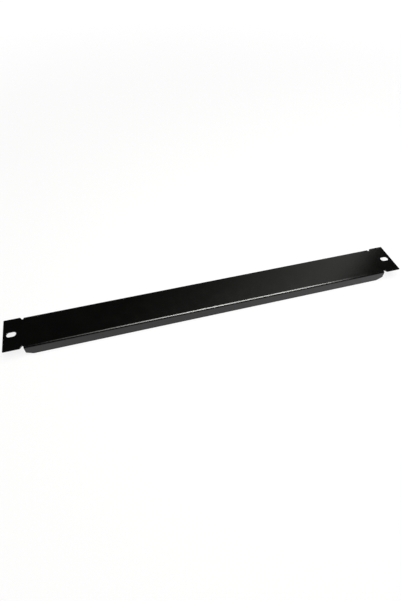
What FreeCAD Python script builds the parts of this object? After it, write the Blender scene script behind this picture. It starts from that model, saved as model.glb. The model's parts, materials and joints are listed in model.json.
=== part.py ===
import FreeCAD, Part
import os

# A one-unit blanking panel for a 19-inch equipment rack: one steel sheet, cut flat and then
# folded back once along each long edge. Lengths are in millimetres. X runs along the panel,
# Y across its height and Z out of its front face. The origin is on the back face, midway
# between the two mounting slots, where the panel meets the rack's posts.

# The sheet
sheet = 1.2                    # thickness of the steel
bend_radius = 1.0              # inside radius of both folds

# The face
panel_length = 482.6           # end to end, ears included
panel_height = 43.66           # one rack unit, less the clearance to its neighbours

# The flanges, folded back from the long edges
flange_depth = 13.3            # front face to free edge
flange_setback = 21.6          # end of the panel to end of the flange
taper_length = 7.3             # of each flange's sloping end, along the free edge
taper_rise = 4.0               # from the free edge up to where the slope starts
taper_rounding = 1.0           # radius where the slope meets the end and the free edge

# The reliefs, cut beside each end of each fold so that the ears stay flat
relief_width = 3.6             # along the panel
relief_overrun = 0.9           # how far a relief reaches in past the start of the fold

# The mounting slots, one in each ear
slot_width = 6.8               # clearance for a rack screw
slot_travel = 3.5              # between the centres of the slot's round ends
slot_inset = 8.75              # end of the panel to the middle of the slot

# Worked out from the sizes above
half_length = panel_length / 2
half_height = panel_height / 2
back_face = 0.0
front_face = back_face + sheet
flange_edge = front_face - flange_depth
flange_end = half_length - flange_setback
relief_middle = flange_end + relief_width / 2
outer_bend_radius = bend_radius + sheet
fold_start = half_height - outer_bend_radius
taper_start = flange_end - taper_length
taper_top = flange_edge + taper_rise

TOLERANCE = 1e-6
ORIGIN = FreeCAD.Vector(0, 0, 0)
X_AXIS = FreeCAD.Vector(1, 0, 0)
Y_AXIS = FreeCAD.Vector(0, 1, 0)
Z_AXIS = FreeCAD.Vector(0, 0, 1)


def face_within(curves):
    """The flat face inside a closed run of lines and arcs."""
    return Part.Face(Part.Wire([curve.toShape() for curve in curves]))


def fold_outline(half_width, bottom, top, radius):
    """A rectangle across the panel whose two top corners are rounded as the folds are."""
    inner_y = half_width - radius
    inner_z = top - radius
    diagonal = radius * 0.5 ** 0.5

    def point(y, z):
        return FreeCAD.Vector(-relief_middle, y, z)

    def corner(side):
        return point(side * (inner_y + diagonal), inner_z + diagonal)

    return face_within([
        Part.LineSegment(point(-half_width, bottom), point(-half_width, inner_z)),
        Part.Arc(point(-half_width, inner_z), corner(-1), point(-inner_y, top)),
        Part.LineSegment(point(-inner_y, top), point(inner_y, top)),
        Part.Arc(point(inner_y, top), corner(1), point(half_width, inner_z)),
        Part.LineSegment(point(half_width, inner_z), point(half_width, bottom)),
        Part.LineSegment(point(half_width, bottom), point(-half_width, bottom)),
    ])


def folded_body():
    """The face and both flanges: one section, drawn out from relief to relief."""
    outside = fold_outline(half_height, flange_edge, front_face, outer_bend_radius)
    inside = fold_outline(half_height - sheet, flange_edge, back_face, bend_radius)
    section = outside.cut(inside).Faces[0]
    return section.extrude(X_AXIS * 2 * relief_middle)


def flat_ear():
    """The flat plate from the middle of the right-hand reliefs to the panel's end."""
    corner = FreeCAD.Vector(relief_middle, -half_height, back_face)
    return Part.makeBox(half_length - relief_middle, panel_height, sheet, corner)


def slot_cutter(first_x, first_y, last_x, last_y, width):
    """A cutter through the whole panel: a slot between two centres, each with a round end."""
    bottom = flange_edge - sheet
    top = front_face + sheet
    first = FreeCAD.Vector(first_x, first_y, bottom)
    last = FreeCAD.Vector(last_x, last_y, bottom)
    along = (last - first).normalize() * (width / 2)
    across = Z_AXIS.cross(along)
    outline = face_within([
        Part.LineSegment(first + across, last + across),
        Part.Arc(last + across, last + along, last - across),
        Part.LineSegment(last - across, first - across),
        Part.Arc(first - across, first - along, first + across),
    ])
    return outline.extrude(Z_AXIS * (top - bottom))


def mounting_slot():
    """The right ear's slot, lying along the panel at mid-height."""
    middle = half_length - slot_inset
    return slot_cutter(middle - slot_travel / 2, 0, middle + slot_travel / 2, 0, slot_width)


def relief(side):
    """The right-hand relief beside one fold, round at its inner end and open outwards."""
    inner_y = fold_start - relief_overrun + relief_width / 2
    outer_y = half_height + relief_width
    return slot_cutter(relief_middle, side * inner_y, relief_middle, side * outer_y, relief_width)


def flange_trim(side):
    """What one flange loses at its right-hand end: a square cut, then a slope to its free edge."""
    inner_y = side * (half_height - sheet)
    corners = [
        (flange_end, front_face),
        (relief_middle, front_face),
        (relief_middle, flange_edge),
        (taper_start, flange_edge),
        (flange_end, taper_top),
        (flange_end, front_face),
    ]
    outline = Part.makePolygon([FreeCAD.Vector(x, inner_y, z) for x, z in corners])
    return Part.Face(outline).extrude(Y_AXIS * side * sheet)


def is_taper_corner(edge):
    """Whether an edge crosses the sheet at either end of a flange's slope."""
    middle = edge.CenterOfMass
    return any(
        abs(abs(middle.x) - x) < TOLERANCE and abs(middle.z - z) < TOLERANCE
        for x, z in [(flange_end, taper_top), (taper_start, flange_edge)]
    )


def blanking_panel():
    """The whole panel: folded body and ears, then their cuts, then the slopes' corners."""
    ear = flat_ear()
    cuts = [mounting_slot(), relief(1), relief(-1), flange_trim(1), flange_trim(-1)]
    left_ear = ear.mirror(ORIGIN, X_AXIS)
    left_cuts = [cut.mirror(ORIGIN, X_AXIS) for cut in cuts]
    panel = folded_body().fuse([ear, left_ear]).cut(cuts + left_cuts).removeSplitter()
    corners = [edge for edge in panel.Edges if is_taper_corner(edge)]
    return panel.makeFillet(taper_rounding, corners)


os.makedirs("parts", exist_ok=True)
blanking_panel().exportStep("parts/blanking_panel.step")
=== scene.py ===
import json
import math

import bmesh
import bpy
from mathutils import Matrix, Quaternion, Vector
from mathutils.geometry import tessellate_polygon


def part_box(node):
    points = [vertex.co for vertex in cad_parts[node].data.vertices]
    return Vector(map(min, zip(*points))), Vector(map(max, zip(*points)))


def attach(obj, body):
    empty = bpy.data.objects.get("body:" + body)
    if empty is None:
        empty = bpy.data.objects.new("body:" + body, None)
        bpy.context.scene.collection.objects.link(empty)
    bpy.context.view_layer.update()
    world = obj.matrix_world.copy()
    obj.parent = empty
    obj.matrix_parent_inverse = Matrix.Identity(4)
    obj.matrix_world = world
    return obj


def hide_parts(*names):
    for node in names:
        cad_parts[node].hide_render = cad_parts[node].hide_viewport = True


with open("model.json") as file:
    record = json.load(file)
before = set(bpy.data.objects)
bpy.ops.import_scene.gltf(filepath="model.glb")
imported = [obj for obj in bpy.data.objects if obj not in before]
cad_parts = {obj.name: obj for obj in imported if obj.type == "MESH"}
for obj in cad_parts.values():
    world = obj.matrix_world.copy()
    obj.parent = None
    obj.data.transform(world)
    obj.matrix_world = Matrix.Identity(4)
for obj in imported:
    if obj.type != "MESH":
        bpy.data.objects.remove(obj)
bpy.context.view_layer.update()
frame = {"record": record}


# ---------------------------------------------------------------------------------------------
# Blanking panel
# The whole product: one 1.2 mm steel sheet that closes an unused unit of a rack. It is punched
# flat, with a slot in each ear and a relief beside each end of each fold. Both long edges are
# then folded back on a press brake, and the part is powder coated black all over.
# ---------------------------------------------------------------------------------------------

MM = 0.001

low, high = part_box("blanking_panel")
slot_pattern = next(
    mount["dims"] for mount in frame["record"]["mounts"] if mount["name"] == "rack_slots"
)

# The sheet and its folds. The back face is at height 0.
sheet = high.z
bend_radius = 1.0 * MM
fold_start = high.y - sheet - bend_radius
neutral_radius = bend_radius + sheet / 2
bend_run = neutral_radius * math.pi / 2
flange_run = -bend_radius - low.z
blank_edge = fold_start + bend_run + flange_run

# The flanges' ends, each with a slope to its free edge
flange_end = high.x - 21.6 * MM
taper_length = 7.3 * MM
taper_rise = 4.0 * MM
taper_rounding = 1.0 * MM
taper_facing = math.degrees(math.atan2(taper_length, taper_rise))

# The reliefs between the folds and the ears: straight beside the flange, round at the inner end
# and sloping out to the ear's corner
relief_width = 3.6 * MM
relief_overrun = 0.9 * MM
relief_radius = 1.0 * MM
relief_centre = Vector((flange_end + relief_radius, fold_start - relief_overrun + relief_radius))
relief_slope = Vector((flange_end + relief_width, high.y)) - relief_centre
relief_facing = 180 + math.degrees(
    math.atan2(relief_slope.y, relief_slope.x) - math.acos(relief_radius / relief_slope.length)
)

# Inside the reliefs, where the folded length stops and the ears stay flat
fold_end = flange_end + relief_radius / 2

# The slots for the rack's screws
slot_radius = slot_pattern["hole_r_mm"] * MM
slot_middle = slot_pattern["spacing_x_mm"] * MM / 2
slot_travel = slot_pattern["slot_length_mm"] * MM - 2 * slot_radius

# How far the punching and the coat soften the sheet's edges and the ears' corners
edge_rounding = 0.2 * MM
corner_rounding = 0.5 * MM

# The mesh's own steps: a flat border inside every softened edge, and the length of a chord
flat_margin = 0.2 * MM
chord = 0.2 * MM


def facing(degrees):
    """The flat direction at an angle from the panel's length."""
    return Vector((math.cos(math.radians(degrees)), math.sin(math.radians(degrees))))


def curve(centre, radius, first, last):
    """Points round a curved stretch of the outline, each with the way out of the steel there.
    A hollow stretch has a negative radius."""
    steps = max(4, round(abs(radius * math.radians(last - first)) / chord))
    ways_out = [facing(first + (last - first) * step / steps) for step in range(steps + 1)]
    return [(centre + way_out * radius, way_out) for way_out in ways_out]


def corner(x, y, radius, first, last):
    """A rounded corner between two straight stretches that face first and last."""
    before, after = facing(first), facing(last)
    inwards = (before + after) / (1 + before.dot(after))
    return curve(Vector((x, y)) - inwards * radius, radius, first, last)


def mirrored(outline, x, y):
    """The same stretch on another side of the panel, in its new order round it."""
    side = [
        (Vector((point.x * x, point.y * y)), Vector((way_out.x * x, way_out.y * y)))
        for point, way_out in outline
    ]
    return side if x * y > 0 else side[::-1]


def blank_outline():
    """Round the flat blank, from the middle of one long edge."""
    quarter = (
        corner(flange_end - taper_length, blank_edge, taper_rounding, 90, taper_facing)
        + corner(flange_end, blank_edge - taper_rise, taper_rounding, taper_facing, 0)
        + curve(relief_centre, -relief_radius, 0, relief_facing)
        + corner(flange_end + relief_width, high.y, corner_rounding, relief_facing, 90)
        + corner(high.x, high.y, corner_rounding, 90, 0)
    )
    return [
        place
        for x, y in [(1, 1), (1, -1), (-1, -1), (-1, 1)]
        for place in mirrored(quarter, x, y)
    ]


def slot_outline(side):
    """Round one mounting slot."""
    middle = side * slot_middle
    right = curve(Vector((middle + slot_travel / 2, 0)), -slot_radius, 90, 270)
    left = curve(Vector((middle - slot_travel / 2, 0)), -slot_radius, -90, 90)
    return right + left


def edge_section():
    """Across the sheet's edge from front to back: how far in, how high, and how thin the coat."""
    steps = 4
    softened = []
    for step in range(steps + 1):
        angle = math.radians(90 * step / steps)
        inset = edge_rounding * (1 - math.sin(angle))
        drop = edge_rounding * (1 - math.cos(angle))
        softened.append((inset, drop, math.sin(2 * angle)))
    front = [(inset, sheet - drop, thin) for inset, drop, thin in softened]
    back = [(inset, drop, thin) for inset, drop, thin in reversed(softened)]
    margin = edge_rounding + flat_margin
    return [(margin, sheet, 0), *front, *back, (margin, 0, 0)]


def flat_blank():
    """The punched blank, still flat: its softened edges, then its two faces between them."""
    blank = bmesh.new()
    thin_coat = blank.verts.layers.float.new("thin_coat")
    face_rims = {"front": [], "back": []}
    for outline in [blank_outline(), slot_outline(1), slot_outline(-1)]:
        rings = []
        for inset, height, thin in edge_section():
            ring = [
                blank.verts.new((*(point - way_out * inset), height)) for point, way_out in outline
            ]
            for vert in ring:
                vert[thin_coat] = thin
            rings.append(ring)
        for upper, lower in zip(rings, rings[1:]):
            for here in range(len(outline)):
                blank.faces.new((upper[here - 1], upper[here], lower[here], lower[here - 1]))
        face_rims["front"].append(rings[0])
        face_rims["back"].append(rings[-1])
    for rims in face_rims.values():
        verts = [vert for rim in rims for vert in rim]
        for triangle in tessellate_polygon([[vert.co for vert in rim] for rim in rims]):
            blank.faces.new([verts[index] for index in triangle])

    # How near a point has to be to a line to lie on it, and to another point to be the same one
    on_line = 0.0001 * MM
    same_point = 0.001 * MM

    def score(place, across):
        """A line across the part of the blank that lies between the ears' reliefs."""
        faces = [
            face for face in blank.faces if min(abs(vert.co.x) for vert in face.verts) < fold_end
        ]
        edges = dict.fromkeys(edge for face in faces for edge in face.edges)
        verts = dict.fromkeys(vert for face in faces for vert in face.verts)
        bmesh.ops.bisect_plane(
            blank, geom=[*verts, *edges, *faces], dist=on_line, plane_co=place, plane_no=across
        )

    # Lines that part the ears from the folded length, then lines along the blank where each fold
    # starts, turns and runs out, with one a little before and after it
    turns = 12
    before_and_after = 3 * flat_margin
    lines = [fold_start + bend_run * turn / turns for turn in range(turns + 1)]
    lines += [fold_start - before_and_after, fold_start + bend_run + before_and_after]
    for side in (1, -1):
        score((side * fold_end, 0, 0), (1, 0, 0))
    for line in lines:
        for side in (1, -1):
            score((0, side * line, 0), (0, 1, 0))
    bmesh.ops.remove_doubles(blank, verts=blank.verts, dist=same_point)
    bmesh.ops.recalc_face_normals(blank, faces=blank.faces)
    mesh = bpy.data.meshes.new("flat_blank")
    blank.to_mesh(mesh)
    blank.free()
    return mesh


def black_powder_coat():
    """Black polyester powder, baked on: semi-gloss, with a slight orange peel and a fine grain,
    and a little thinner where it runs round the sheet's edges."""
    material = bpy.data.materials.new("black_powder_coat")
    material.use_nodes = True
    nodes = material.node_tree.nodes
    links = material.node_tree.links
    coat = nodes["Principled BSDF"]
    coat.inputs["IOR"].default_value = 1.42
    place = nodes.new("ShaderNodeTexCoord")

    def noise(per_metre, detail):
        texture = nodes.new("ShaderNodeTexNoise")
        texture.inputs["Scale"].default_value = per_metre
        texture.inputs["Detail"].default_value = detail
        links.new(place.outputs["Object"], texture.inputs["Vector"])
        return texture.outputs["Fac"]

    def spread(value, lowest, highest):
        """The noise lies mostly between 0.3 and 0.7, and is spread over the range given."""
        ranged = nodes.new("ShaderNodeMapRange")
        ranged.inputs["From Min"].default_value = 0.3
        ranged.inputs["From Max"].default_value = 0.7
        ranged.inputs["To Min"].default_value = lowest
        ranged.inputs["To Max"].default_value = highest
        links.new(value, ranged.inputs["Value"])
        return ranged.outputs["Result"]

    def mix(factor, first, second):
        blend = nodes.new("ShaderNodeMix")
        blend.data_type = "RGBA"
        links.new(factor, blend.inputs["Factor"])
        for socket, shade in [("A", first), ("B", second)]:
            if isinstance(shade, tuple):
                blend.inputs[socket].default_value = (*shade, 1)
            else:
                links.new(shade, blend.inputs[socket])
        return blend.outputs["Result"]

    def bump(height, distance, normal=None):
        relief = nodes.new("ShaderNodeBump")
        relief.inputs["Distance"].default_value = distance
        links.new(height, relief.inputs["Height"])
        if normal:
            links.new(normal, relief.inputs["Normal"])
        return relief.outputs["Normal"]

    # Colour: near black, a shade lighter in patches of some centimetres and on the edges
    black = (0.0023, 0.0023, 0.0022)
    lighter_black = (0.0033, 0.0033, 0.0031)
    black_on_edges = (0.0060, 0.0060, 0.0057)
    thin_coat = nodes.new("ShaderNodeAttribute")
    thin_coat.attribute_name = "thin_coat"
    patches = mix(spread(noise(30, 3), 0, 1), black, lighter_black)
    shade = mix(thin_coat.outputs["Fac"], patches, black_on_edges)
    links.new(shade, coat.inputs["Base Color"])

    # Gloss: slightly uneven, as the powder flowed
    links.new(spread(noise(90, 4), 0.10, 0.14), coat.inputs["Roughness"])

    # Surface: orange peel a millimetre or so across, then the powder's grain
    peel = bump(noise(600, 3), 0.08 * MM)
    grain = bump(noise(4000, 2), 0.01 * MM, peel)
    links.new(grain, coat.inputs["Normal"])
    return material


def press_brake(material):
    """Geometry nodes that fold the blank back along both long edges, up to the ears, and coat
    it."""
    tree = bpy.data.node_groups.new("press_brake", "GeometryNodeTree")
    sockets = tree.interface
    sockets.new_socket("Geometry", in_out="INPUT", socket_type="NodeSocketGeometry")
    for name in ("Fold start", "Fold end", "Bend radius", "Sheet"):
        sockets.new_socket(name, in_out="INPUT", socket_type="NodeSocketFloat")
    sockets.new_socket("Geometry", in_out="OUTPUT", socket_type="NodeSocketGeometry")
    given = tree.nodes.new("NodeGroupInput").outputs
    links = tree.links

    def maths(operation, *values):
        """One step of the working, on sockets or plain numbers."""
        node = tree.nodes.new("ShaderNodeMath")
        node.operation = operation
        for socket, value in zip(node.inputs, values):
            if isinstance(value, (int, float)):
                socket.default_value = value
            else:
                links.new(value, socket)
        return node.outputs[0]

    position = tree.nodes.new("GeometryNodeInputPosition")
    apart = tree.nodes.new("ShaderNodeSeparateXYZ")
    links.new(position.outputs["Position"], apart.inputs["Vector"])
    along, across, up = apart.outputs

    # How far the steel runs past the start of the fold, and how much of that the bend takes
    past_start = maths("SUBTRACT", maths("ABSOLUTE", across), given["Fold start"])
    neutral = maths("MULTIPLY_ADD", given["Sheet"], 0.5, given["Bend radius"])
    in_bend = maths("MAXIMUM", maths("DIVIDE", past_start, neutral), 0.0)
    turned = maths("MINIMUM", in_bend, math.pi / 2)
    past_bend = maths("SUBTRACT", past_start, maths("MULTIPLY", neutral, math.pi / 2))
    down_flange = maths("MAXIMUM", past_bend, 0.0)
    on_face = maths("MINIMUM", past_start, 0.0)

    # Round the bend's axis, which lies one bend radius behind the back face
    reach = maths("ADD", given["Bend radius"], up)
    outwards = maths("MULTIPLY", reach, maths("SINE", turned))
    upwards = maths("MULTIPLY", reach, maths("COSINE", turned))
    folded_y = maths("ADD", maths("ADD", given["Fold start"], on_face), outwards)
    behind = maths("ADD", given["Bend radius"], down_flange)
    folded_z = maths("SUBTRACT", upwards, behind)

    # Both long edges turn back alike, and the ears stay flat
    together = tree.nodes.new("ShaderNodeCombineXYZ")
    links.new(along, together.inputs["X"])
    links.new(maths("MULTIPLY", folded_y, maths("SIGN", across)), together.inputs["Y"])
    links.new(folded_z, together.inputs["Z"])
    between_ears = maths("LESS_THAN", maths("ABSOLUTE", along), given["Fold end"])

    fold = tree.nodes.new("GeometryNodeSetPosition")
    smooth = tree.nodes.new("GeometryNodeSetShadeSmooth")
    realize = tree.nodes.new("GeometryNodeRealizeInstances")
    coat = tree.nodes.new("GeometryNodeSetMaterial")
    coat.inputs["Material"].default_value = material
    result = tree.nodes.new("NodeGroupOutput")
    links.new(given["Geometry"], fold.inputs["Geometry"])
    links.new(between_ears, fold.inputs["Selection"])
    links.new(together.outputs["Vector"], fold.inputs["Position"])
    for before, after in [(fold, smooth), (smooth, realize), (realize, coat), (coat, result)]:
        links.new(before.outputs["Geometry"], after.inputs["Geometry"])
    return tree


blank_mesh = flat_blank()
panel = bpy.data.objects.new("blanking_panel_sheet", blank_mesh)
bpy.context.scene.collection.objects.link(panel)
folding = panel.modifiers.new("fold", "NODES")
folding.node_group = press_brake(black_powder_coat())
fold_sizes = {
    "Fold start": fold_start,
    "Fold end": fold_end,
    "Bend radius": bend_radius,
    "Sheet": sheet,
}
for socket in folding.node_group.interface.items_tree:
    if socket.in_out == "INPUT" and socket.name in fold_sizes:
        folding[socket.identifier] = fold_sizes[socket.name]
folded = bpy.data.meshes.new_from_object(
    panel.evaluated_get(bpy.context.evaluated_depsgraph_get())
)
panel.modifiers.remove(folding)
panel.data = folded
folded.name = "blanking_panel_sheet"
bpy.data.meshes.remove(blank_mesh)

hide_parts("blanking_panel")
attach(panel, "root")


# ---------------------------------------------------------------------------------------------
# Table
# A matt white table top, which the panel lies on by its flanges' free edges. Its own faint glow,
# which the camera and mirror-like surfaces see and the panel isn't lit by, brings it to white
# under plain light. It keeps the panel's soft shadow.
# ---------------------------------------------------------------------------------------------


def white_table():
    """Matt grey whose glow brings it to white. It glows a little less near the panel, where the
    lamps light it most."""
    material = bpy.data.materials.new("white_table")
    material.use_nodes = True
    nodes, links = material.node_tree.nodes, material.node_tree.links
    nodes.remove(nodes["Principled BSDF"])
    grey = 0.16
    near, far = 0.2, 1.4
    near_glow, far_glow = 0.87, 1.0
    matt = nodes.new("ShaderNodeBsdfDiffuse")
    matt.inputs["Color"].default_value = (grey, grey, grey, 1)

    def maths(operation, first, second):
        node = nodes.new("ShaderNodeMath")
        node.operation = operation
        links.new(first, node.inputs[0])
        links.new(second, node.inputs[1])
        return node.outputs[0]

    ray = nodes.new("ShaderNodeLightPath").outputs
    in_mirrors = maths("MAXIMUM", ray["Is Glossy Ray"], ray["Is Transmission Ray"])
    seen = maths("MAXIMUM", ray["Is Camera Ray"], in_mirrors)

    place = nodes.new("ShaderNodeTexCoord")
    distance = nodes.new("ShaderNodeVectorMath")
    distance.operation = "LENGTH"
    links.new(place.outputs["Object"], distance.inputs[0])
    away = nodes.new("ShaderNodeMapRange")
    away.interpolation_type = "SMOOTHSTEP"
    away.inputs["From Min"].default_value = near
    away.inputs["From Max"].default_value = far
    away.inputs["To Min"].default_value = near_glow
    away.inputs["To Max"].default_value = far_glow
    links.new(distance.outputs["Value"], away.inputs["Value"])

    glow = nodes.new("ShaderNodeEmission")
    links.new(maths("MULTIPLY", seen, away.outputs["Result"]), glow.inputs["Strength"])
    both = nodes.new("ShaderNodeAddShader")
    links.new(matt.outputs[0], both.inputs[0])
    links.new(glow.outputs[0], both.inputs[1])
    links.new(both.outputs[0], nodes["Material Output"].inputs["Surface"])
    return material


table_reach = 6.0
table_clearance = 0.02 * MM
table_top = low.z - table_clearance
table_corners = [(-1, -1), (1, -1), (1, 1), (-1, 1)]

table_mesh = bpy.data.meshes.new("table")
table_mesh.from_pydata(
    [(x * table_reach, y * table_reach, table_top) for x, y in table_corners], [], [(0, 1, 2, 3)]
)
table_mesh.materials.append(white_table())
table = bpy.data.objects.new("table", table_mesh)
bpy.context.scene.collection.objects.link(table)


# ---------------------------------------------------------------------------------------------
# Lamps
# A large softbox overhead lights the panel evenly. Two strip lamps under it are seen only in the
# coat's gloss, where they draw the bright line along the near fold, and a dim white card behind
# the panel's right end gives its face a soft sheen.
# ---------------------------------------------------------------------------------------------


def softbox(name, place, aim, width, height, brightness, profile, roll=0):
    """A soft rectangular lamp. At brightness 1 it looks as bright as lit white paper. The profile
    gives the share of that at places along its width, from the lamp's own -X end to its +X end."""
    light = bpy.data.lights.new(name, "AREA")
    light.shape = "RECTANGLE"
    light.size = width
    light.size_y = height
    light.energy = brightness * math.pi * width * height
    light.color = (1.0, 1.0, 0.96)
    light.use_nodes = True
    nodes, links = light.node_tree.nodes, light.node_tree.links
    surface = nodes.new("ShaderNodeNewGeometry")
    across = nodes.new("ShaderNodeSeparateXYZ")
    fading = nodes.new("ShaderNodeValToRGB")
    stops = fading.color_ramp.elements
    while len(stops) < len(profile):
        stops.new(0.5)
    for stop, (position, share) in zip(stops, profile):
        stop.position = position
        stop.color = (share, share, share, 1)
    links.new(surface.outputs["Parametric"], across.inputs["Vector"])
    links.new(across.outputs["X"], fading.inputs["Fac"])
    links.new(fading.outputs["Color"], nodes["Emission"].inputs["Strength"])
    lamp = bpy.data.objects.new(name, light)
    lamp.location = place
    facing_aim = (Vector(aim) - Vector(place)).to_track_quat("-Z", "Y")
    lamp.rotation_euler = (facing_aim @ Quaternion((0, 0, 1), math.radians(roll))).to_euler()
    lamp.visible_camera = False
    bpy.context.scene.collection.objects.link(lamp)
    return lamp


softbox(
    "key_softbox",
    place=(0.10, -0.03, 0.69),
    aim=(0.10, -0.03, 0),
    width=0.88,
    height=0.62,
    brightness=4.2,
    profile=[(0, 0.2), (0.2, 1), (0.85, 1), (1, 0.2)],
)

# Brightest over the middle and the right of the fold, and faded out before either ear
for name, y, depth in [("back_strip", 0.195, 0.15), ("front_strip", -0.22, 0.20)]:
    strip_light = softbox(
        name,
        place=(0.22, y, 0.68),
        aim=(0.22, y, 0),
        width=0.80,
        height=depth,
        brightness=42.0,
        profile=[
            (0, 0), (0.08, 0.22), (0.17, 0.47), (0.27, 0.66), (0.34, 0.95), (0.46, 0.95),
            (0.56, 0.62), (0.66, 0.95), (0.76, 0.8), (0.85, 0.65), (0.94, 0.1), (1, 0),
        ],
    )
    strip_light.visible_diffuse = False

# Turned in its own plane, so that its sheen ends slantwise before the right-hand ear
softbox(
    "back_card",
    place=(0.260, 0.321, 0.321),
    aim=(0.260, 0.024, -0.0165),
    width=0.59,
    height=0.60,
    brightness=0.70,
    profile=[
        (0.125, 0), (0.225, 1), (0.31, 1), (0.41, 0.76), (0.475, 0.6), (0.55, 0.45),
        (0.625, 0.26), (0.70, 0.14), (0.77, 0.08), (0.88, 0),
    ],
    roll=-45,
)

# A dark room, so that the coat's gloss shows only the lamps and the table
world = bpy.data.worlds.new("studio")
world.use_nodes = True
world.node_tree.nodes["Background"].inputs["Color"].default_value = (0.012, 0.012, 0.012, 1)
bpy.context.scene.world = world
bpy.context.scene.view_settings.view_transform = "Standard"


# ---------------------------------------------------------------------------------------------
# Camera
# Held above and in front of the panel's near edge, a little to the left of its middle, with the
# whole panel in view.
# ---------------------------------------------------------------------------------------------

camera_data = bpy.data.cameras.new("camera")
camera_data.lens = 24.03
camera_data.clip_start = 0.01
camera = bpy.data.objects.new("camera", camera_data)
camera.location = Vector((-106.79, -304.26, 359.89)) * MM
camera.rotation_euler = [math.radians(turn) for turn in (40.835, -0.644, -15.683)]
bpy.context.scene.collection.objects.link(camera)
bpy.context.scene.camera = camera
